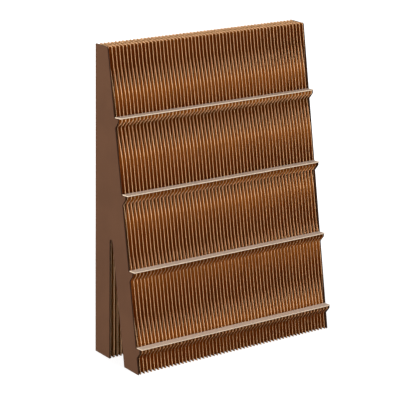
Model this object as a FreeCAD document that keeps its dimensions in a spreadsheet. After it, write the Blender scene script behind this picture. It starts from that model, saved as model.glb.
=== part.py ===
"""Free-standing cardboard display stand with four sloping-front ledges.

The body of the stand is an expanded honeycomb: 112 thin board sheets, all cut to one
outline and glued to each other in upright stripes, so that they open into tall six-sided
cells when the stack is pulled apart between two end panels. The model joins them into nine
bundles, 14 sheets in each of the two end bundles and 12 in each of the seven between them.
Four shelf strips lie on the noses that stand out of the sloping front.

Frame: +Z up, +X to the right of a person who faces the front, -Y to the front.
The origin is under the middle of the stand, on the floor. Millimetres and degrees.
"""
import FreeCAD, Part
import math
import os
import Sketcher

# Driving dimensions: alias, value, what it is.
SIZES = [
    ("stand_height", 1500.0, "floor to top edge"),
    ("top_depth", 101.0, "rear edge to sloping front, at the top"),
    ("foot_depth", 372.0, "rear edge to sloping front, at the floor"),
    ("corner_ease", 5.0, "length eased off each side of the top front corner"),
    ("panel_thickness", 6.0, "board of an end panel"),
    ("wall_thickness", 1.5, "board of a honeycomb sheet, measured along X"),
    ("cell_pitch", 20.0, "one honeycomb cell to the next, along X"),
    ("end_bundle_cells", 7.0, "cells across each of the two end bundles"),
    ("inner_bundle_cells", 6.0, "cells across each bundle between them"),
    ("inner_bundles", 7.0, "bundles between the two end bundles"),
    ("stripe_pitch", 51.4, "one row of glue stripes to the next, front to back"),
    ("stripe_length", 29.0, "glue stripe, front to back"),
    ("lowest_ledge", 125.0, "floor to the root of the lowest ledge"),
    ("second_ledge", 482.0, "floor to the root of the second ledge"),
    ("third_ledge", 832.0, "floor to the root of the third ledge"),
    ("top_ledge", 1182.0, "floor to the root of the top ledge"),
    ("ledge_tilt", 4.0, "rise of a ledge towards the front, in degrees"),
    ("nose_reach", 32.0, "nose tip in front of the sloping face"),
    ("nose_face", 17.0, "height of a nose's upright front"),
    ("nose_undercut", 30.0, "height of a nose's slanting underside"),
    ("shelf_depth", 44.0, "shelf strip, front to back"),
    ("shelf_thickness", 4.0, "shelf strip board"),
    ("slot_rear", 124.0, "rear edge to the upright side of the leg slot"),
    ("slot_front", 253.0, "rear edge to the front side of the leg slot, at the floor"),
    ("slot_height", 587.0, "floor to where the leg slot starts to round over"),
]

LEDGES = ["lowest_ledge", "second_ledge", "third_ledge", "top_ledge"]
SHELF_NAMES = ["lowest_shelf", "second_shelf", "third_shelf", "top_shelf"]
SHEETS_PER_CELL = 2
IN_LINE_ROWS = 5
STAGGERED_ROWS = 4
VOLUME_TOLERANCE = 0.02

# Expressions that several sub-parts share.
SLOPE = "((Sizes.foot_depth - Sizes.top_depth) / Sizes.stand_height)"
CORE_CELLS = "(2 * Sizes.end_bundle_cells + Sizes.inner_bundles * Sizes.inner_bundle_cells)"
CORE_WIDTH = f"({CORE_CELLS} * Sizes.cell_pitch)"
STAND_WIDTH = f"({CORE_WIDTH} + 2 * Sizes.panel_thickness)"
TILT = "(Sizes.ledge_tilt * 1deg)"
REACH = f"(Sizes.foot_depth - {SLOPE} * Sizes.lowest_ledge + Sizes.shelf_depth * cos({TILT}))"
REAR_PLANE_Y = f"{REACH} / 2"


def face(height):
    """Return the expression for the sloping front's distance from the rear edge at a height."""
    return f"(Sizes.foot_depth - {SLOPE} * ({height}))"


def make_sheet(doc):
    """Write the driving dimensions into the document's spreadsheet."""
    sheet = doc.addObject("Spreadsheet::Sheet", "Sizes")
    for row, (alias, value, meaning) in enumerate(SIZES, start=1):
        sheet.set(f"A{row}", alias)
        sheet.set(f"B{row}", str(value))
        sheet.set(f"C{row}", meaning)
        sheet.setAlias(f"B{row}", alias)
    doc.recompute()
    return sheet


def size(doc, expression):
    """Return an expression's value as a plain number."""
    value = doc.Sizes.evalExpression(expression)
    return float(getattr(value, "Value", value))


def origin_feature(body, role):
    """Return one of a body's own origin planes or axes."""
    return next(item for item in body.Origin.OriginFeatures if item.Role == role)


def new_body(doc, label, offset_x):
    """Start a body whose local frame is the stand's rear edge, moved along X by an expression."""
    body = doc.addObject("PartDesign::Body", label)
    body.Label = label
    body.setExpression("Placement.Base.x", offset_x)
    body.setExpression("Placement.Base.y", REAR_PLANE_Y)
    return body


def pin(sketch, line, across, value, expression):
    """Fix one coordinate of a line's start point to an expression."""
    axis = -2 if across else -1
    kind = "DistanceX" if across else "DistanceY"
    if abs(value) < 1e-9:
        sketch.addConstraint(Sketcher.Constraint("PointOnObject", line, 1, axis))
        return
    index = sketch.addConstraint(Sketcher.Constraint(kind, -1, 1, line, 1, value))
    sketch.setExpression(f"Constraints[{index}]", expression)


def add_loop(sketch, points):
    """Draw one closed loop of straight edges and pin every corner to its expressions."""
    doc = sketch.Document
    values = [(size(doc, across), size(doc, up)) for across, up in points]
    corners = [FreeCAD.Vector(across, up, 0) for across, up in values]
    first = sketch.GeometryCount
    count = len(corners)
    for number in range(count):
        sketch.addGeometry(Part.LineSegment(corners[number], corners[(number + 1) % count]))
    for number in range(count):
        following = first + (number + 1) % count
        sketch.addConstraint(Sketcher.Constraint("Coincident", first + number, 2, following, 1))
    for number, (across, up) in enumerate(points):
        pin(sketch, first + number, True, values[number][0], across)
        pin(sketch, first + number, False, values[number][1], up)


def new_sketch(body, name, role):
    """Start a sketch on one of the body's own origin planes."""
    sketch = body.newObject("Sketcher::SketchObject", f"{body.Name}_{name}")
    sketch.AttachmentSupport = (origin_feature(body, role), [""])
    sketch.MapMode = "FlatFace"
    return sketch


def nose_points(ledge):
    """Return a nose's four corners, from the foot of its underside up to the ledge's root."""
    root = f"Sizes.{ledge}"
    tip_depth = f"{face(root)} + Sizes.nose_reach"
    tip_height = f"{root} + Sizes.nose_reach * tan({TILT})"
    heel_height = f"{tip_height} - Sizes.nose_face"
    foot_height = f"{heel_height} - Sizes.nose_undercut"
    return [
        (f"-{face(foot_height)}", foot_height),
        (f"-({tip_depth})", heel_height),
        (f"-({tip_depth})", tip_height),
        (f"-{face(root)}", root),
    ]


def outline_points():
    """Return the outline that every sheet and end panel is cut to, seen from the right side."""
    points = [("0", "0"), ("-Sizes.slot_rear", "0")]
    slot_top_front = f"(Sizes.slot_front - {SLOPE} * Sizes.slot_height)"
    slot_width = f"({slot_top_front} - Sizes.slot_rear)"
    points.append(("-Sizes.slot_rear", "Sizes.slot_height"))
    points.append((f"-(Sizes.slot_rear + 0.3 * {slot_width})", f"Sizes.slot_height + 0.4 * {slot_width}"))
    points.append((f"-(Sizes.slot_rear + 0.65 * {slot_width})", f"Sizes.slot_height + 0.4 * {slot_width}"))
    points.append((f"-{slot_top_front}", "Sizes.slot_height"))
    points.append(("-Sizes.slot_front", "0"))
    points.append(("-Sizes.foot_depth", "0"))
    for ledge in LEDGES:
        points += nose_points(ledge)
    lean = f"atan({SLOPE})"
    points.append((f"-(Sizes.top_depth + Sizes.corner_ease * sin({lean}))",
                   f"Sizes.stand_height - Sizes.corner_ease * cos({lean})"))
    points.append(("-(Sizes.top_depth - Sizes.corner_ease)", "Sizes.stand_height"))
    points.append(("0", "Sizes.stand_height"))
    return points


def pad_outline(body, thickness):
    """Pad the shared outline along +X by an expression."""
    sketch = new_sketch(body, "outline", "YZ_Plane")
    add_loop(sketch, outline_points())
    pad = body.newObject("PartDesign::Pad", f"{body.Name}_board")
    pad.Profile = sketch
    pad.setExpression("Length", thickness)
    body.Document.recompute()
    return pad


def cell_points(column, row):
    """Return the six corners of a cell's hollow, in plan, at a column and row of the lattice."""
    centre_x = f"{column} * Sizes.cell_pitch"
    centre_y = f"-{row} * Sizes.stripe_pitch"
    half_width = "(Sizes.cell_pitch / 2 - Sizes.wall_thickness)"
    half_flat = "Sizes.stripe_length / 2"
    half_long = "(Sizes.stripe_pitch - Sizes.stripe_length / 2)"
    return [
        (f"{centre_x} - {half_width}", f"{centre_y} - {half_flat}"),
        (centre_x, f"{centre_y} - {half_long}"),
        (f"{centre_x} + {half_width}", f"{centre_y} - {half_flat}"),
        (f"{centre_x} + {half_width}", f"{centre_y} + {half_flat}"),
        (centre_x, f"{centre_y} + {half_long}"),
        (f"{centre_x} - {half_width}", f"{centre_y} + {half_flat}"),
    ]


def cut_cell_rows(body, name, columns, first_row, rows):
    """Cut a row of upright cell hollows and repeat it towards the front."""
    sketch = new_sketch(body, name, "XY_Plane")
    for column in columns:
        add_loop(sketch, cell_points(column, first_row))
    pocket = body.newObject("PartDesign::Pocket", f"{body.Name}_{name}_hollows")
    pocket.Profile = sketch
    pocket.Type = 1
    pocket.Reversed = True
    body.Document.recompute()
    pattern = body.newObject("PartDesign::LinearPattern", f"{body.Name}_{name}_rows")
    pattern.Originals = [pocket]
    pattern.Direction = (origin_feature(body, "Y_Axis"), [""])
    pattern.Reversed = True
    pattern.Occurrences = rows
    pattern.setExpression("Length", f"{rows - 1} * 2 * Sizes.stripe_pitch")
    body.Tip = pattern
    body.Document.recompute()


def make_end_panel(doc, label, offset_x):
    """Make one end panel: a plain board cut to the shared outline."""
    body = new_body(doc, label, offset_x)
    pad_outline(body, "Sizes.panel_thickness")
    return body


def bundle_widths(doc):
    """Return the number of cells across each bundle, from the left to the right."""
    end = int(size(doc, "Sizes.end_bundle_cells"))
    inner = int(size(doc, "Sizes.inner_bundle_cells"))
    return [end] + [inner] * int(size(doc, "Sizes.inner_bundles")) + [end]


def make_bundle(doc, label, first_cell, cells):
    """Make one bundle: sheets glued to each other in upright stripes, a few cells across."""
    body = new_body(doc, label, f"{first_cell} * Sizes.cell_pitch - {CORE_WIDTH} / 2")
    pad_outline(body, f"{cells} * Sizes.cell_pitch")
    in_line = [number + 0.5 for number in range(cells)]
    staggered = list(range(cells + 1))
    cut_cell_rows(body, "in_line_cells", in_line, 0, IN_LINE_ROWS)
    cut_cell_rows(body, "staggered_cells", staggered, 1, STAGGERED_ROWS)
    return body


def repeat_bundle(doc, label, bundle, cells_to_the_right):
    """Set a copy of a bundle a whole number of cells to its right."""
    copy = doc.addObject("Part::Compound", label)
    copy.Label = label
    copy.Links = [bundle]
    copy.setExpression("Placement.Base.x", f"{cells_to_the_right} * Sizes.cell_pitch")
    return copy


def make_core(doc):
    """Make the row of bundles: each width is modelled once, and its other places are copies."""
    bundles = []
    modelled = {}
    first_cell = 0
    for number, cells in enumerate(bundle_widths(doc), start=1):
        label = f"core_bundle_{number:02d}"
        if cells in modelled:
            original, its_first_cell = modelled[cells]
            bundles.append(repeat_bundle(doc, label, original, first_cell - its_first_cell))
        else:
            bundles.append(make_bundle(doc, label, first_cell, cells))
            modelled[cells] = (bundles[-1], first_cell)
        first_cell += cells
    return bundles


def make_shelf(doc, label, ledge):
    """Make one shelf strip, which lies on a ledge with its rear edge on the sloping front."""
    body = new_body(doc, label, f"-{CORE_WIDTH} / 2")
    root = f"Sizes.{ledge}"
    depth = f"Sizes.shelf_depth * cos({TILT})"
    rise = f"Sizes.shelf_depth * sin({TILT})"
    back = f"Sizes.shelf_thickness * sin({TILT})"
    lift = f"Sizes.shelf_thickness * cos({TILT})"
    sketch = new_sketch(body, "section", "YZ_Plane")
    add_loop(sketch, [
        (f"-{face(root)}", root),
        (f"-({face(root)} + {depth})", f"{root} + {rise}"),
        (f"-({face(root)} + {depth} - {back})", f"{root} + {rise} + {lift}"),
        (f"-({face(root)} - {back})", f"{root} + {lift}"),
    ])
    pad = body.newObject("PartDesign::Pad", f"{label}_board")
    pad.Profile = sketch
    pad.setExpression("Length", CORE_WIDTH)
    return body


def outline_area(doc):
    """Return the area of the shared outline by the shoelace rule."""
    corners = [(size(doc, across), size(doc, up)) for across, up in outline_points()]
    pairs = zip(corners, corners[1:] + corners[:1])
    return abs(sum(a[0] * b[1] - b[0] * a[1] for a, b in pairs)) / 2


def check_bundle_volumes(doc, bundles):
    """Stop if a bundle doesn't hold as much board as its sheets would."""
    sheet_volume = outline_area(doc) * size(doc, "Sizes.wall_thickness")
    for bundle, cells in zip(bundles, bundle_widths(doc)):
        expected = SHEETS_PER_CELL * cells * sheet_volume
        found = bundle.Shape.Volume
        if not math.isclose(found, expected, rel_tol=VOLUME_TOLERANCE):
            raise RuntimeError(f"{bundle.Label}: volume {found:.0f}, expected about {expected:.0f}")


def check(doc, parts):
    """Stop if any object failed or a sub-part is not one sound solid."""
    for item in doc.Objects:
        if "Invalid" in item.State or "Error" in item.State:
            raise RuntimeError(f"{item.Label}: {item.State}")
    for part in parts:
        if part.Shape.isNull() or not part.Shape.isValid() or len(part.Shape.Solids) != 1:
            raise RuntimeError(f"{part.Label} is not one sound solid")


def main():
    """Build the stand and write one STEP file for each sub-part."""
    doc = FreeCAD.newDocument("DisplayStand")
    make_sheet(doc)
    left_panel = make_end_panel(doc, "left_end_panel", f"-{STAND_WIDTH} / 2")
    bundles = make_core(doc)
    right_panel = make_end_panel(doc, "right_end_panel", f"{CORE_WIDTH} / 2")
    shelves = [make_shelf(doc, name, ledge) for name, ledge in zip(SHELF_NAMES, LEDGES)]
    doc.recompute()
    parts = [left_panel, *bundles, right_panel, *shelves]
    check(doc, parts)
    check_bundle_volumes(doc, bundles)
    os.makedirs("parts", exist_ok=True)
    for part in parts:
        part.Shape.exportStep(f"parts/{part.Label}.step")
    print(f"{len(parts)} sub-parts written")


main()
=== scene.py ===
"""Looks of the honeycomb cardboard shelf organizer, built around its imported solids.

The solids already have the true shape: sheets, cells, end panels, noses and shelf strips.
This file gives each of them its board finish, and sets up a plain studio around them.
Lengths are metres and angles are degrees. Most colours are written as sRGB bytes, which
linear() turns into the linear values that Blender reads.
"""

import logging
import math
from abc import ABC, abstractmethod
from collections.abc import Iterable, Sequence
from dataclasses import dataclass, field
from enum import Enum
from typing import ClassVar

import bpy
from mathutils import Matrix, Vector


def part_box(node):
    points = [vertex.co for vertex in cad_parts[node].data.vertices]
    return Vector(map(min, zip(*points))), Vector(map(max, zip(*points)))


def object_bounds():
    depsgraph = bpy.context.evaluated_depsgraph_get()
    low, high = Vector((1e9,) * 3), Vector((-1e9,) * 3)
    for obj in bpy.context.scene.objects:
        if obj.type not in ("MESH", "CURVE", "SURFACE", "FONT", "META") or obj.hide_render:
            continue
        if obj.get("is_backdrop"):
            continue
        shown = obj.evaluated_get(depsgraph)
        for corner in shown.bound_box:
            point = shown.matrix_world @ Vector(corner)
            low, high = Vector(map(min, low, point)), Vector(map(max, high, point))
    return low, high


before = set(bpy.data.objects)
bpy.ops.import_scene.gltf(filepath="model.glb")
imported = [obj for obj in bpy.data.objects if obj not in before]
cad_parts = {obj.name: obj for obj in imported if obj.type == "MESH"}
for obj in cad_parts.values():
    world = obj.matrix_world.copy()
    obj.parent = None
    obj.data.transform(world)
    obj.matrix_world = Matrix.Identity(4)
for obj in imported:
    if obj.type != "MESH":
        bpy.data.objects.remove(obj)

log = logging.getLogger("shelf_organizer")

MM = 0.001

Socket = bpy.types.NodeSocket
Value = float | Socket
Colour = tuple[float, float, float, float]
Band = tuple[float, float]


def linear(red: int, green: int, blue: int) -> Colour:
    """Turn an sRGB colour in bytes into a linear colour with full alpha.

    Args:
        red: red byte.
        green: green byte.
        blue: blue byte.

    Returns:
        Linear red, green, blue and an alpha of one.
    """
    def channel(byte: int) -> float:
        """Undo the sRGB curve for one channel, with the constants of the sRGB standard."""
        share = byte / 255
        return share / 12.92 if share <= 0.04045 else ((share + 0.055) / 1.055) ** 2.4

    return channel(red), channel(green), channel(blue), 1.0


def grey(level: float) -> Colour:
    """Return a linear grey with full alpha."""
    return level, level, level, 1.0


WHITE = grey(1.0)


def heading(turn: float, rise: float) -> Vector:
    """Work out the direction from the stand to a camera or a lamp, as a unit vector.

    Args:
        turn: the angle round the stand; 0 is in front and -90 is on the left.
        rise: the angle above the horizon.

    Returns:
        (sin turn cos rise, -cos turn cos rise, sin rise).
    """
    around, up = math.radians(turn), math.radians(rise)
    return Vector((
        math.sin(around) * math.cos(up),
        -math.cos(around) * math.cos(up),
        math.sin(up),
    ))


# ---------------------------------------------------------------- node trees


class Kind(Enum):
    """The kinds of socket on a node group, with Blender's names for them."""

    NUMBER = "NodeSocketFloat"
    COLOUR = "NodeSocketColor"
    VECTOR = "NodeSocketVector"


class Blend(Enum):
    """What a Mix node mixes: Blender's name, the first of its two inputs, and its output."""

    NUMBERS = ("FLOAT", 2, 0)
    COLOURS = ("RGBA", 6, 2)


@dataclass(frozen=True)
class Marks:
    """A noise pattern, and how its peaks show as marks.

    Attributes:
        per_metre: how many marks there are in a metre along X, Y and Z.
        detail: how many finer layers the noise has.
        roughness: how strong the finer layers are.
        band: the noise values between which a mark fades in.
        share: how much of a full mark shows, from 0 to 1.
    """

    per_metre: tuple[float, float, float]
    detail: float
    roughness: float
    band: Band
    share: float


class Graph:
    """A thin layer over a node tree that adds one node at a time and links its inputs."""

    def __init__(self, tree: bpy.types.NodeTree) -> None:
        """Keep the tree that nodes are added to."""
        self.tree = tree

    @classmethod
    def blank(cls, owner: bpy.types.Material | bpy.types.World) -> "Graph":
        """Empty the node tree of a material or a world.

        Args:
            owner: the material or the world.

        Returns:
            The graph of its tree.
        """
        owner.use_nodes = True
        owner.node_tree.nodes.clear()
        return cls(owner.node_tree)

    def put(self, target: Socket, value: Value | Sequence[float]) -> None:
        """Link a socket to an input, or set the input's own value.

        Args:
            target: the input.
            value: the socket or the plain value.
        """
        if isinstance(value, bpy.types.NodeSocket):
            self.tree.links.new(value, target)
        else:
            target.default_value = value

    def add(
        self, kind: str, made: bpy.types.NodeTree | None = None, **inputs: Value | Sequence[float]
    ) -> bpy.types.Node:
        """Add a node and set its inputs by name, with underscores for spaces.

        Args:
            kind: Blender's name of the node type.
            made: the node group to place, for a group node.
            inputs: a socket or a plain value for each input that isn't left as it is.

        Returns:
            The node.
        """
        node = self.tree.nodes.new(kind)
        if made is not None:
            node.node_tree = made
        for name, value in inputs.items():
            self.put(node.inputs[name.replace("_", " ")], value)
        return node

    def group(
        self, made: bpy.types.NodeTree, **inputs: Value | Sequence[float]
    ) -> bpy.types.NodeOutputs:
        """Place a node group, set its inputs by name and return its outputs."""
        return self.add("ShaderNodeGroup", made, **inputs).outputs

    def math(self, operation: str, *values: Value, clamp: bool = False) -> Socket:
        """Add a Math node.

        Args:
            operation: Blender's name of the operation.
            values: its inputs, in order.
            clamp: whether the result is held between 0 and 1.

        Returns:
            The result.
        """
        node = self.add("ShaderNodeMath")
        node.operation = operation
        node.use_clamp = clamp
        for target, value in zip(node.inputs, values):
            self.put(target, value)
        return node.outputs[0]

    def flipped(self, value: Value) -> Socket:
        """Return one less a value."""
        return self.math("SUBTRACT", 1.0, value)

    def wave(self, along: Value, pitch: Value) -> Socket:
        """Return sin(2 pi along / pitch)."""
        return self.math("SINE", self.math("MULTIPLY", self.math("DIVIDE", along, pitch), math.tau))

    def ramp(self, value: Value, low: Value, high: Value) -> Socket:
        """Add a smooth step.

        Args:
            value: what is compared.
            low: where the step starts.
            high: where it ends.

        Returns:
            0 up to the start, 1 past the end, and an even S between them.
        """
        node = self.add("ShaderNodeMapRange", Value=value, From_Min=low, From_Max=high)
        node.interpolation_type = "SMOOTHSTEP"
        return node.outputs["Result"]

    def mix(
        self,
        share: Value,
        first: Value | Sequence[float],
        second: Value | Sequence[float],
        blend: Blend = Blend.COLOURS,
    ) -> Socket:
        """Mix two colours or two numbers.

        Args:
            share: how much of the second shows, from 0 to 1.
            first: what shows at 0.
            second: what shows at 1.
            blend: whether they are colours or numbers.

        Returns:
            The mixture.
        """
        data_type, start, result = blend.value
        node = self.add("ShaderNodeMix", Factor=share)
        node.data_type = data_type
        self.put(node.inputs[start], first)
        self.put(node.inputs[start + 1], second)
        return node.outputs[result]

    def split(self, vector: Socket) -> tuple[Socket, Socket, Socket]:
        """Return a vector's three parts."""
        return tuple(self.add("ShaderNodeSeparateXYZ", Vector=vector).outputs)

    def stretched(self, vector: Socket, scale: Sequence[float]) -> Socket:
        """Multiply a vector part by part.

        Args:
            vector: the vector.
            scale: the factor for each part.

        Returns:
            The product.
        """
        node = self.add("ShaderNodeVectorMath")
        node.operation = "MULTIPLY"
        self.put(node.inputs[0], vector)
        self.put(node.inputs[1], scale)
        return node.outputs[0]

    def noise(self, place: Socket, marks: Marks) -> Socket:
        """Add the noise that marks are made from.

        Args:
            place: the point.
            marks: the pattern.

        Returns:
            Three-dimensional noise between about 0 and 1.
        """
        node = self.add(
            "ShaderNodeTexNoise",
            Vector=self.stretched(place, marks.per_metre),
            Scale=1.0,
            Detail=marks.detail,
            Roughness=marks.roughness,
        )
        return node.outputs["Fac"]

    def shown(self, noise: Socket, marks: Marks) -> Socket:
        """Return how much of a mark shows, from 0 to the marks' own share."""
        return self.math("MULTIPLY", self.ramp(noise, *marks.band), marks.share)


def new_group(
    name: str, inputs: Iterable[tuple[str, Kind]], outputs: Iterable[tuple[str, Kind]]
) -> tuple[Graph, bpy.types.NodeOutputs, bpy.types.NodeInputs]:
    """Start a shader node group with named sockets.

    Args:
        name: the group's name.
        inputs: name and kind of each input.
        outputs: name and kind of each output.

    Returns:
        The group's graph, the sockets that its inputs arrive at, and those that it puts out.
    """
    tree = bpy.data.node_groups.new(name, "ShaderNodeTree")
    for side, sockets in (("INPUT", inputs), ("OUTPUT", outputs)):
        for label, kind in sockets:
            tree.interface.new_socket(label, in_out=side, socket_type=kind.value)
    entry, leave = tree.nodes.new("NodeGroupInput"), tree.nodes.new("NodeGroupOutput")
    return Graph(tree), entry.outputs, leave.inputs


# ---------------------------------------------------------------- boards and where they lie


@dataclass(frozen=True)
class BoardColours:
    """The tones of one kind of board.

    Attributes:
        liner: the usual tone of the outer paper.
        cloud: the tone that slow, large patches drift towards.
        cut: the paper where a cut edge shows it.
        channel_shade: painted shade in the flute channels that a cut edge opens.
        painted_highlight: a painted highlight, the lighter tone painted on the outer paper near a
            cut edge and on a cut edge that faces up, where light would fall more.
    """

    liner: Colour
    cloud: Colour
    cut: Colour
    channel_shade: Colour
    painted_highlight: Colour


@dataclass(frozen=True)
class Board:
    """One kind of corrugated or solid board.

    Attributes:
        name: the finish's name.
        colours: its tones.
        flute_pitch: one flute to the next.
        washboard: height of the flutes' waves on the outer paper, as a share of the relief's depth.
        roughness: roughness of the paper.
        gloss: how much light the paper's surface reflects.
    """

    name: str
    colours: BoardColours
    flute_pitch: float
    washboard: float
    roughness: float
    gloss: float


CORE_BOARD = Board(
    name="core_board",
    colours=BoardColours(
        liner=linear(172, 106, 36),
        cloud=linear(162, 97, 31),
        cut=linear(92, 52, 22),
        # Each board's channel tone is painted shade in the flute channels of its cut edges.
        channel_shade=linear(74, 40, 16),
        # Painted highlight: the paler tone painted on the outer margin of the sheets' faces and on
        # cut edges that face up.
        painted_highlight=linear(229, 184, 138),
    ),
    flute_pitch=3.3 * MM,
    washboard=0.15,
    roughness=0.85,
    gloss=0.08,
)
PANEL_BOARD = Board(
    name="panel_board",
    colours=BoardColours(
        liner=linear(81, 55, 39),
        cloud=linear(77, 52, 37),
        cut=linear(62, 38, 24),
        channel_shade=linear(40, 22, 12),
        painted_highlight=linear(81, 55, 39),
    ),
    flute_pitch=6.5 * MM,
    washboard=0.125,
    roughness=0.85,
    gloss=0.08,
)
SHELF_BOARD = Board(
    name="shelf_board",
    colours=BoardColours(
        liner=linear(198, 177, 160),
        cloud=linear(188, 166, 147),
        cut=linear(242, 220, 192),
        channel_shade=linear(196, 176, 154),
        painted_highlight=linear(198, 177, 160),
    ),
    flute_pitch=3.2 * MM,
    washboard=0.075,
    roughness=0.6,
    gloss=0.2,
)


class Across(Enum):
    """The axis that a board's thickness lies along, as its place in a vector."""

    X = 0
    Z = 2


class Layout(ABC):
    """Where a board lies, which tells its faces from its cut edges.

    Attributes:
        thickness_axis: the axis that the board's thickness lies along.
    """

    thickness_axis: Across

    @abstractmethod
    def within(self, graph: Graph, place: Socket) -> tuple[Socket, Socket]:
        """Work out where a point lies within the board.

        Args:
            graph: the graph that the nodes are added to.
            place: the point.

        Returns:
            The share of the way through the board's thickness, and the distance across its flutes.
        """


@dataclass(frozen=True)
class FlatBoard(Layout):
    """A flat board.

    Attributes:
        thickness_axis: the axis that the thickness lies along.
        low: where the thickness starts along that axis.
        high: where it ends.
    """

    thickness_axis: Across
    low: float
    high: float

    @classmethod
    def from_frame(cls, name: str, thickness_axis: Across) -> "FlatBoard":
        """Read the board's place from its own box.

        Args:
            name: the board's name.
            thickness_axis: the axis that its thickness lies along.

        Returns:
            The layout.
        """
        low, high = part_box(name)
        return cls(thickness_axis, low[thickness_axis.value], high[thickness_axis.value])

    def within(self, graph: Graph, place: Socket) -> tuple[Socket, Socket]:
        """Work out where a point lies within the board.

        Args:
            graph: the graph that the nodes are added to.
            place: the point.

        Returns:
            The share of the way from the low side to the high one, and the point's X on a level
            board or its Y on an upright one.
        """
        parts = graph.split(place)
        inside = graph.math("SUBTRACT", parts[self.thickness_axis.value], self.low)
        along = parts[0] if self.thickness_axis is Across.Z else parts[1]
        return graph.math("DIVIDE", inside, self.high - self.low), along


@dataclass(frozen=True)
class Lattice(Layout):
    """Where the sheets of the expanded core run, seen from above.

    Attributes:
        thickness_axis: the axis that the sheets' thickness lies along.
        left: X of the core's left side.
        rear: Y of the sheets' rear edges.
        pitch: width of one cell.
        stripe_pitch: one row of glue stripes to the next, front to back.
        stripe_length: length of a glue stripe, front to back.
        wall: thickness of a sheet along X.
    """

    thickness_axis: ClassVar[Across] = Across.X

    left: float
    rear: float
    pitch: float
    stripe_pitch: float = 51.4 * MM
    stripe_length: float = 29.0 * MM
    wall: float = 1.5 * MM

    @classmethod
    def from_frame(cls, cells: int = 7) -> "Lattice":
        """Read the place and the pitch from the first bundle.

        Args:
            cells: the number of cells across that bundle.

        Returns:
            The lattice.
        """
        low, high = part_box("core_bundle_01")
        return cls(left=low.x, rear=high.y, pitch=(high.x - low.x) / cells)

    def within(self, graph: Graph, place: Socket) -> tuple[Socket, Socket]:
        """Work out where a point lies within its own core sheet.

        The half pitches are counted from the left, and one sheet swings inside each of them:
        from its left side to its right side and back, one half turn for each row of stripes.

        Args:
            graph: the graph that the nodes are added to.
            place: the point.

        Returns:
            The share of the way through the sheet, and the distance from the rear edge.
        """
        x, y, _ = graph.split(place)
        half = self.pitch / 2
        steps = graph.math("DIVIDE", graph.math("SUBTRACT", x, self.left), half)
        number = graph.math("FLOOR", steps)
        inside = graph.math("MULTIPLY", graph.math("SUBTRACT", steps, number), half)
        odd = graph.math("MODULO", number, 2.0)
        depth = graph.math("SUBTRACT", self.rear, y)
        row = graph.math("PINGPONG", depth, self.stripe_pitch)
        past_stripe = graph.math("SUBTRACT", row, self.stripe_length / 2)
        between_stripes = self.stripe_pitch - self.stripe_length
        swing = graph.math("DIVIDE", past_stripe, between_stripes, clamp=True)
        side = graph.math("ABSOLUTE", graph.math("SUBTRACT", odd, swing))
        start = graph.math("MULTIPLY", side, half - self.wall)
        return graph.math("DIVIDE", graph.math("SUBTRACT", inside, start), self.wall), depth


@dataclass(frozen=True)
class Outline:
    """The side outline that the core's sheets are cut to.

    Attributes:
        rear: Y of the rear edges.
        top: Z of the top edges.
        top_depth: rear edge to sloping front, at the top.
        foot_depth: rear edge to sloping front, at the floor.
        slot_rear: rear edge to the upright side of the leg slot.
        slot_height: floor to the top of the leg slot.
        ledges: floor to the root of each ledge, from the lowest up.
        nose_rise: height over a ledge's root up to which its nose counts.
        nose_reach: nose tip in front of the sloping face at its root.
        nose_heel: root of a ledge down to the foot of its nose's upright front.
        nose_slant: loss of reach for each unit of height below that.
    """

    rear: float
    top: float
    top_depth: float = 101.0 * MM
    foot_depth: float = 372.0 * MM
    slot_rear: float = 124.0 * MM
    slot_height: float = 610.0 * MM
    ledges: tuple[float, ...] = (125.0 * MM, 482.0 * MM, 832.0 * MM, 1182.0 * MM)
    nose_rise: float = 2.5 * MM
    nose_reach: float = 32.0 * MM
    nose_heel: float = 14.8 * MM
    nose_slant: float = 0.8

    @property
    def slope(self) -> float:
        """Depth lost for each unit of height."""
        return (self.foot_depth - self.top_depth) / self.top

    @classmethod
    def from_frame(cls) -> "Outline":
        """Read the rear and the top from the first bundle."""
        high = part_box("core_bundle_01")[1]
        return cls(rear=high.y, top=high.z)

    def front(self, graph: Graph, z: Socket) -> Socket:
        """Work out the distance from the rear edge to the front with its noses.

        It is the greatest of the sloping face and the noses, each of which counts up to just
        above its ledge's root: nose = min(tip, tip - slant (heel - z)).

        Args:
            graph: the graph that the nodes are added to.
            z: the height.

        Returns:
            The distance at that height.
        """
        front = graph.math("MULTIPLY_ADD", z, -self.slope, self.foot_depth)
        for root in self.ledges:
            tip = self.foot_depth - self.slope * root + self.nose_reach
            heel = root - self.nose_heel
            slanted = graph.math("MULTIPLY_ADD", z, self.nose_slant, tip - self.nose_slant * heel)
            nose = graph.math("MINIMUM", slanted, tip)
            below = graph.math("LESS_THAN", z, root + self.nose_rise)
            front = graph.math("MAXIMUM", front, graph.math("MULTIPLY", nose, below))
        return front


# ---------------------------------------------------------------- effects that all boards share


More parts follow.
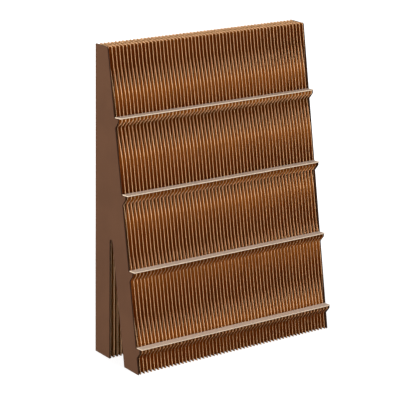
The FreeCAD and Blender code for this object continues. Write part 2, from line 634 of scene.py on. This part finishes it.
@dataclass(frozen=True)
class KraftPaper:
    """The marks of unbleached paper: slow patches, upright streaks, fibres and fine flecks.

    Attributes:
        patches: slow patches, which have the board's cloud tone.
        streaks: long upright streaks.
        fibres: short upright fibres.
        flecks: fine dark flecks.
        streak_tone: the tone of a streak.
        fleck_tone: the tone of a fleck.
        fibre_lift: how many times lighter a fibre is, in red, green and blue.
        fibre_height: the fibres' part in the paper's height.
        streak_height: the streaks' part in it.
    """

    patches: Marks = Marks(
        per_metre=(6.0, 6.0, 6.0), detail=3.0, roughness=0.5, band=(0.35, 0.65), share=1.0
    )
    streaks: Marks = Marks(
        per_metre=(400.0, 400.0, 9.0), detail=3.0, roughness=0.6, band=(0.35, 0.75), share=0.16
    )
    fibres: Marks = Marks(
        per_metre=(2600.0, 2600.0, 420.0), detail=2.0, roughness=0.7, band=(0.30, 0.70), share=0.25
    )
    flecks: Marks = Marks(
        per_metre=(1400.0, 1400.0, 1400.0), detail=1.0, roughness=0.5, band=(0.70, 0.80), share=0.25
    )
    streak_tone: Colour = (0.10, 0.05, 0.03, 1.0)
    fleck_tone: Colour = (0.12, 0.06, 0.03, 1.0)
    fibre_lift: tuple[float, float, float] = (1.5, 1.5, 1.45)
    fibre_height: float = 0.6
    streak_height: float = 0.4

    def group(self) -> bpy.types.NodeTree:
        """Make the node group.

        Returns:
            A group with inputs Vector, Liner and Cloud, and outputs Colour and Height.
        """
        graph, entry, leave = new_group(
            "kraft_paper",
            [("Vector", Kind.VECTOR), ("Liner", Kind.COLOUR), ("Cloud", Kind.COLOUR)],
            [("Colour", Kind.COLOUR), ("Height", Kind.NUMBER)],
        )
        patches, streaks, fibres, flecks = (
            graph.noise(entry["Vector"], marks)
            for marks in (self.patches, self.streaks, self.fibres, self.flecks)
        )
        tone = graph.mix(graph.shown(patches, self.patches), entry["Liner"], entry["Cloud"])
        tone = graph.mix(graph.shown(streaks, self.streaks), tone, self.streak_tone)
        pale_fibre = graph.stretched(tone, self.fibre_lift)
        tone = graph.mix(graph.shown(fibres, self.fibres), tone, pale_fibre)
        tone = graph.mix(graph.shown(flecks, self.flecks), tone, self.fleck_tone)
        raised = graph.math("MULTIPLY", fibres, self.fibre_height)
        height = graph.math("ADD", raised, graph.math("MULTIPLY", streaks, self.streak_height))
        graph.put(leave["Colour"], tone)
        graph.put(leave["Height"], height)
        return graph.tree


@dataclass(frozen=True)
class BoardSection:
    """A cut through corrugated board: two liners and a waved medium between them.

    Every measure is a share of the board's thickness. The medium's own middle lies at
    middle + sway sin(2 pi along / pitch).

    Attributes:
        middle: the board's middle.
        sway: how far the medium's middle leaves the board's.
        medium_edge: distances from the medium's middle between which its paper ends.
        liner_edge: distances from the board's middle between which a liner starts.
    """

    middle: float = 0.5
    sway: float = 0.36
    medium_edge: Band = (0.07, 0.15)
    liner_edge: Band = (0.36, 0.42)

    def group(self) -> bpy.types.NodeTree:
        """Make the node group.

        Returns:
            A group with inputs Across (0 to 1 through the board), Along and Pitch, and output
            Paper, which is 1 in paper and 0 in a flute channel.
        """
        graph, entry, leave = new_group(
            "board_section",
            [("Across", Kind.NUMBER), ("Along", Kind.NUMBER), ("Pitch", Kind.NUMBER)],
            [("Paper", Kind.NUMBER)],
        )
        across = entry["Across"]
        wave = graph.wave(entry["Along"], entry["Pitch"])
        swayed = graph.math("MULTIPLY_ADD", wave, self.sway, self.middle)
        off_medium = graph.math("ABSOLUTE", graph.math("SUBTRACT", across, swayed))
        medium = graph.flipped(graph.ramp(off_medium, *self.medium_edge))
        off_middle = graph.math("ABSOLUTE", graph.math("SUBTRACT", across, self.middle))
        liners = graph.ramp(off_middle, *self.liner_edge)
        graph.put(leave["Paper"], graph.math("MAXIMUM", medium, liners))
        return graph.tree


@dataclass(frozen=True)
class PaintedLightMargin:
    """A sheet's outer margin, the strip of its faces beside its cut edges, which is painted lighter
    as a painted highlight.

    Attributes:
        outline: the outline that the sheets are cut to.
        top_factor: how many times narrower the strip is below the top edge.
        narrow: up to this distance from an edge the strip is full.
        wide: past this distance there is none.
    """

    outline: Outline
    top_factor: float = 2.0
    narrow: float = 1.0 * MM
    wide: float = 6.0 * MM

    def group(self) -> bpy.types.NodeTree:
        """Make the node group.

        Returns:
            A group with inputs Vector, Narrow and Wide, and output Margin: 1 up to the narrow
            distance from the front with its noses, the rear or the leg slot's upright side, and
            0 past the wide one.
        """
        graph, entry, leave = new_group(
            "painted_light_margin",
            [("Vector", Kind.VECTOR), ("Narrow", Kind.NUMBER), ("Wide", Kind.NUMBER)],
            [("Margin", Kind.NUMBER)],
        )
        _, y, z = graph.split(entry["Vector"])
        depth = graph.math("SUBTRACT", self.outline.rear, y)
        front = self.outline.front(graph, z)
        in_rear_leg = graph.math(
            "MULTIPLY",
            graph.math("LESS_THAN", z, self.outline.slot_height),
            graph.math("LESS_THAN", depth, self.outline.slot_rear),
        )
        to_slot = graph.math("SUBTRACT", self.outline.slot_rear, front)
        edge = graph.math("MULTIPLY_ADD", in_rear_leg, to_slot, front)
        inward = graph.math("MINIMUM", graph.math("SUBTRACT", edge, depth), depth)
        below_top = graph.math("SUBTRACT", self.outline.top, z)
        inward = graph.math("MINIMUM", inward, graph.math("MULTIPLY", below_top, self.top_factor))
        faded = graph.ramp(inward, entry["Narrow"], entry["Wide"])
        graph.put(leave["Margin"], graph.flipped(faded))
        return graph.tree


@dataclass(frozen=True)
class FootWear:
    """Handling wear: a scuffed band just above the floor.

    Attributes:
        scuffs: the patches in which the paper is scuffed.
        reach: floor to the end of the band.
        tone: the tone of scuffed paper.
        share: how much of it shows.
    """

    scuffs: Marks = Marks(
        per_metre=(120.0, 120.0, 120.0), detail=4.0, roughness=0.6, band=(0.40, 0.65), share=1.0
    )
    reach: float = 14.0 * MM
    tone: Colour = linear(96, 70, 52)
    share: float = 0.45

    def group(self) -> bpy.types.NodeTree:
        """Make the node group.

        Returns:
            A group with inputs Vector and Reach, and output Wear, from 0 to 1.
        """
        graph, entry, leave = new_group(
            "foot_wear",
            [("Vector", Kind.VECTOR), ("Reach", Kind.NUMBER)],
            [("Wear", Kind.NUMBER)],
        )
        height = graph.split(entry["Vector"])[2]
        near_floor = graph.flipped(graph.ramp(height, 0.0, entry["Reach"]))
        scuffed = graph.shown(graph.noise(entry["Vector"], self.scuffs), self.scuffs)
        graph.put(leave["Wear"], graph.math("MULTIPLY", near_floor, scuffed))
        return graph.tree


@dataclass(frozen=True)
class Relief:
    """The height of a board's surface, which its Bump node reads.

    Attributes:
        paper: the paper's part in the height of a face.
        strength: strength of the bump.
        depth: the height that 1 stands for.
    """

    paper: float = 0.35
    strength: float = 0.35
    depth: float = 0.35 * MM


@dataclass
class Finisher:
    """Turns a board into a material, with the node groups that all boards share.

    Attributes:
        margin: the outer margin of the core's sheets, which carries the painted highlight.
        paper: the marks of the outer paper.
        section: what a cut edge shows.
        wear: the wear above the floor.
        relief: the height of the surface.
        face_band: parts of the normal that lie across the board, between which a cut edge
            turns into a face.
        top_lit_band: parts of the normal that point up, between which a cut edge turns into one
            that faces up and takes the painted highlight, painted light from above.
        margin_tree: the margin's node group.
        paper_tree: the paper's.
        section_tree: the cut edge's.
        wear_tree: the wear's.
    """

    margin: PaintedLightMargin
    paper: KraftPaper = KraftPaper()
    section: BoardSection = BoardSection()
    wear: FootWear = FootWear()
    relief: Relief = Relief()
    face_band: Band = (0.45, 0.55)
    top_lit_band: Band = (0.5, 0.9)
    margin_tree: bpy.types.NodeTree = field(init=False)
    paper_tree: bpy.types.NodeTree = field(init=False)
    section_tree: bpy.types.NodeTree = field(init=False)
    wear_tree: bpy.types.NodeTree = field(init=False)

    def __post_init__(self) -> None:
        """Make the node groups."""
        self.margin_tree = self.margin.group()
        self.paper_tree = self.paper.group()
        self.section_tree = self.section.group()
        self.wear_tree = self.wear.group()

    def tone(
        self, graph: Graph, board: Board, place: Socket, paper: Socket, ends: Socket, cut: Socket
    ) -> Socket:
        """Work out the surface's colour.

        Args:
            graph: the material's graph.
            board: the board to show.
            place: the point.
            paper: the colour of the outer paper.
            ends: the colour of a cut edge.
            cut: 1 on a cut edge and 0 on a face.

        Returns:
            The colour, with the painted highlight on the outer margin and the wear above the floor.
        """
        bounds = {"Narrow": self.margin.narrow, "Wide": self.margin.wide}
        margin = graph.group(self.margin_tree, Vector=place, **bounds)["Margin"]
        worn = graph.group(self.wear_tree, Vector=place, Reach=self.wear.reach)["Wear"]
        # Painted highlight: the outer margin of each face is painted lighter, standing in for the
        # light that reaches only the outer part of each cell.
        faces = graph.mix(margin, paper, board.colours.painted_highlight)
        tinted = graph.mix(cut, faces, ends)
        return graph.mix(graph.math("MULTIPLY", worn, self.wear.share), tinted, self.wear.tone)

    def normal(
        self, graph: Graph, board: Board, along: Socket, paper: Socket, solid: Socket, cut: Socket
    ) -> Socket:
        """Work out the surface's normal.

        Args:
            graph: the material's graph.
            board: the board to show.
            along: the distance across the flutes.
            paper: the height of the outer paper.
            solid: 1 where a cut edge shows paper and 0 in a flute channel.
            cut: 1 on a cut edge and 0 on a face.

        Returns:
            The normal, turned by flutes and paper on a face and by the channels on a cut edge.
        """
        flutes = graph.math("MULTIPLY", graph.wave(along, board.flute_pitch), board.washboard)
        face = graph.math("ADD", flutes, graph.math("MULTIPLY", paper, self.relief.paper))
        bump = graph.add(
            "ShaderNodeBump",
            Strength=self.relief.strength,
            Distance=self.relief.depth,
            Height=graph.mix(cut, face, solid, Blend.NUMBERS),
        )
        return bump.outputs["Normal"]

    def material(self, board: Board, layout: Layout) -> bpy.types.Material:
        """Make a board's material.

        Args:
            board: the board to show.
            layout: where it lies.

        Returns:
            The material.
        """
        made = bpy.data.materials.new(board.name)
        graph, colours = Graph.blank(made), board.colours
        coords = graph.add("ShaderNodeTexCoord").outputs
        place, facing = coords["Object"], graph.split(coords["Normal"])
        sideways = graph.math("ABSOLUTE", facing[layout.thickness_axis.value])
        cut = graph.flipped(graph.ramp(sideways, *self.face_band))
        paper = graph.group(
            self.paper_tree, Vector=place, Liner=colours.liner, Cloud=colours.cloud
        )
        across, along = layout.within(graph, place)
        section = graph.group(
            self.section_tree, Across=across, Along=along, Pitch=board.flute_pitch
        )
        solid = section["Paper"]
        # Painted highlight: cut edges that face up are painted lighter, standing in for light from
        # above.
        top_lit = graph.ramp(facing[2], *self.top_lit_band)
        # Painted shade: the flute channels of a cut edge are painted darker.
        ends = graph.mix(solid, colours.channel_shade, colours.cut)
        ends = graph.mix(top_lit, ends, colours.painted_highlight)
        shader = graph.add(
            "ShaderNodeBsdfPrincipled",
            Base_Color=self.tone(graph, board, place, paper["Colour"], ends, cut),
            Roughness=board.roughness,
            Specular_IOR_Level=board.gloss,
            Normal=self.normal(graph, board, along, paper["Height"], solid, cut),
        )
        graph.add("ShaderNodeOutputMaterial", Surface=shader.outputs["BSDF"])
        return made


# ---------------------------------------------------------------- the stand's pieces


def cover(name: str, material: bpy.types.Material) -> None:
    """Give every material slot of a piece one material.

    Args:
        name: the piece's name.
        material: the material.
    """
    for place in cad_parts[name].material_slots:
        place.material = material


@dataclass
class Core:
    """The expanded honeycomb: bundles of glued sheets.

    Attributes:
        lattice: where the sheets run.
        prefix: what each bundle's name starts with.
    """

    lattice: Lattice
    prefix: str = "core_bundle_"

    def dress(self, finisher: Finisher) -> list[str]:
        """Finish the bundles, which share one material.

        Args:
            finisher: makes the material.

        Returns:
            The names of the bundles.
        """
        material = finisher.material(CORE_BOARD, self.lattice)
        bundles = [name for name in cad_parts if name.startswith(self.prefix)]
        for name in bundles:
            cover(name, material)
        return bundles


@dataclass
class FlatBoards:
    """Flat boards of one kind, each with a material of its own.

    Attributes:
        board: the kind of board.
        thickness_axis: the axis that their thickness lies along.
        names: their names.
    """

    board: Board
    thickness_axis: Across
    names: tuple[str, ...]

    def dress(self, finisher: Finisher) -> list[str]:
        """Finish the boards.

        Args:
            finisher: makes the materials.

        Returns:
            The names of the boards.
        """
        for name in self.names:
            layout = FlatBoard.from_frame(name, self.thickness_axis)
            cover(name, finisher.material(self.board, layout))
        return list(self.names)


@dataclass
class EndPanels(FlatBoards):
    """The two plain outer boards."""

    board: Board = PANEL_BOARD
    thickness_axis: Across = Across.X
    names: tuple[str, ...] = ("left_end_panel", "right_end_panel")


@dataclass
class Shelves(FlatBoards):
    """The four pale strips that lie on the noses."""

    board: Board = SHELF_BOARD
    thickness_axis: Across = Across.Z
    names: tuple[str, ...] = ("lowest_shelf", "second_shelf", "third_shelf", "top_shelf")


# ---------------------------------------------------------------- the studio


@dataclass(frozen=True)
class ViewCamera:
    """The camera.

    Attributes:
        azimuth: its turn round the stand; 0 looks along +Y.
        elevation: its angle above the horizon.
        roll: how far it is turned about its own line of sight.
        focal_length: its lens, in millimetres.
        sensor_width: width of the sensor, in millimetres.
        stand_off: its place from the stand's rear left foot, as shares of the stand's height.
        clip: the nearest and the furthest that it sees.
    """

    azimuth: float = -35.654
    elevation: float = 16.716
    roll: float = 1.022
    focal_length: float = 158.9
    sensor_width: float = 36.0
    stand_off: tuple[float, float, float] = (-2.8077, -4.4729, 2.0921)
    clip: Band = (0.1, 100.0)

    def place(self, low: Vector, high: Vector) -> None:
        """Set up the camera.

        Args:
            low: the low corner of the stand's box.
            high: its high corner.
        """
        back = heading(self.azimuth, self.elevation)
        skyward = Vector((0.0, 0.0, 1.0))
        level = skyward.cross(back).normalized()
        upright = back.cross(level)
        roll = math.radians(self.roll)
        right = level * math.cos(roll) + upright * math.sin(roll)
        up = upright * math.cos(roll) - level * math.sin(roll)
        data = bpy.data.cameras.new("camera")
        data.sensor_width = self.sensor_width
        data.lens = self.focal_length
        data.clip_start, data.clip_end = self.clip
        camera = bpy.data.objects.new("camera", data)
        rear_left_foot = Vector((low.x, high.y, low.z))
        seat = rear_left_foot + Vector(self.stand_off) * (high.z - low.z)
        rotation = Matrix((right, up, back)).transposed().to_4x4()
        camera.matrix_world = Matrix.Translation(seat) @ rotation
        bpy.context.scene.collection.objects.link(camera)
        bpy.context.scene.camera = camera


@dataclass(frozen=True)
class Lamp:
    """A square area lamp that faces the stand from far off.

    Attributes:
        name: the lamp's name.
        turn: its angle round the stand; 0 is in front and -90 is on the left.
        rise: its angle above the horizon.
        level: the light that it gives at the stand, as a share of what shows white as white.
        distance: its distance from the stand's middle.
        size: the side of its square.
    """

    name: str
    turn: float
    rise: float
    level: float
    distance: float = 10.0
    size: float = 2.8

    def place(self, target: Vector) -> None:
        """Set up the lamp.

        Args:
            target: the point that it faces.
        """
        away = heading(self.turn, self.rise)
        data = bpy.data.lights.new(self.name, "AREA")
        data.shape = "SQUARE"
        data.size = self.size
        data.energy = self.level * (math.pi * self.distance) ** 2
        lamp = bpy.data.objects.new(self.name, data)
        lamp.location = target + away * self.distance
        lamp.rotation_mode = "QUATERNION"
        lamp.rotation_quaternion = (-away).to_track_quat("-Z", "Y")
        bpy.context.scene.collection.objects.link(lamp)


@dataclass(frozen=True)
class Room:
    """The room round the stand, which is white to the camera and in reflections.

    Attributes:
        level: the even light that it gives, as a share of white.
    """

    level: float = 0.11

    def place(self) -> None:
        """Set up the world."""
        world = bpy.data.worlds.new("room")
        graph = Graph.blank(world)
        paths = graph.add("ShaderNodeLightPath").outputs
        seen = graph.math("MAXIMUM", paths["Is Camera Ray"], paths["Is Glossy Ray"])
        seen = graph.math("MAXIMUM", seen, paths["Is Transmission Ray"])
        mixed = graph.add("ShaderNodeMixShader", Fac=seen)
        for target, strength in zip(mixed.inputs[1:], (self.level, 1.0)):
            light = graph.add("ShaderNodeBackground", Color=WHITE, Strength=strength)
            graph.put(target, light.outputs["Background"])
        graph.add("ShaderNodeOutputWorld", Surface=mixed.outputs["Shader"])
        bpy.context.scene.world = world


@dataclass(frozen=True)
class Floor:
    """A wide pale floor that keeps the stand's soft shadow and turns white further off.

    Attributes:
        reach: its middle to each of its sides.
        tone: how much of the lamps' light it gives back.
        near_glow: what the camera sees it glow by near the stand.
        far_glow: what it glows by further off, which is white even without the lamps.
        glow_band: the distances between which the glow grows from the one to the other.
    """

    reach: float = 40.0
    tone: float = 0.40
    near_glow: float = 0.8
    far_glow: float = 1.0
    glow_band: Band = (0.8, 2.4)

    def material(self) -> bpy.types.Material:
        """Make the floor's material.

        Returns:
            The material.
        """
        made = bpy.data.materials.new("floor")
        graph = Graph.blank(made)
        coords = graph.add("ShaderNodeTexCoord").outputs
        x, y, _ = graph.split(coords["Object"])
        squares = (graph.math("MULTIPLY", part, part) for part in (x, y))
        distance = graph.math("SQRT", graph.math("ADD", *squares))
        far = graph.ramp(distance, *self.glow_band)
        growth = self.far_glow - self.near_glow
        strength = graph.math("MULTIPLY_ADD", far, growth, self.near_glow)
        paths = graph.add("ShaderNodeLightPath").outputs
        seen = graph.math("MULTIPLY", paths["Is Camera Ray"], strength)
        paper = graph.add("ShaderNodeBsdfDiffuse", Color=grey(self.tone))
        glow = graph.add("ShaderNodeEmission", Color=WHITE, Strength=seen)
        both = graph.add("ShaderNodeAddShader")
        graph.put(both.inputs[0], paper.outputs["BSDF"])
        graph.put(both.inputs[1], glow.outputs["Emission"])
        graph.add("ShaderNodeOutputMaterial", Surface=both.outputs["Shader"])
        return made

    def place(self, level: float) -> None:
        """Lay the floor.

        Args:
            level: its height.
        """
        mesh = bpy.data.meshes.new("floor")
        ways = ((-1, -1), (1, -1), (1, 1), (-1, 1))
        edge_points = [(x * self.reach, y * self.reach, level) for x, y in ways]
        mesh.from_pydata(edge_points, [], [range(len(edge_points))])
        mesh.materials.append(self.material())
        floor = bpy.data.objects.new("floor", mesh)
        bpy.context.scene.collection.objects.link(floor)
        floor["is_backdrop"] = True


@dataclass(frozen=True)
class Studio:
    """Camera, lamps, room and floor.

    Attributes:
        camera: the camera.
        lamps: a low lamp on the left that rakes along the front, and one in front and one behind.
        room: the even light all round.
        floor: the floor.
    """

    camera: ViewCamera = ViewCamera()
    lamps: tuple[Lamp, ...] = (
        Lamp("raking_light", turn=-83.0, rise=11.0, level=1.3),
        Lamp("front_light", turn=8.0, rise=22.0, level=0.85),
        Lamp("rear_light", turn=165.0, rise=35.0, level=0.6),
    )
    room: Room = Room()
    floor: Floor = Floor()

    def place(self, low: Vector, high: Vector) -> None:
        """Set up the studio round the stand.

        Args:
            low: the low corner of the stand's box.
            high: its high corner.
        """
        self.camera.place(low, high)
        for lamp in self.lamps:
            lamp.place((low + high) / 2)
        self.room.place()
        self.floor.place(low.z)


def main() -> None:
    """Dress the stand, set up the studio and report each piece."""
    logging.basicConfig(level=logging.INFO, format="%(name)s: %(message)s")
    cad_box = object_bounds()
    bpy.context.scene.view_settings.view_transform = "Standard"
    finisher = Finisher(PaintedLightMargin(Outline.from_frame()))
    for assembly in (Core(Lattice.from_frame()), EndPanels(), Shelves()):
        for name in assembly.dress(finisher):
            log.info("%s is finished", name)
    Studio().place(*cad_box)


if __name__ == "__main__":
    main()
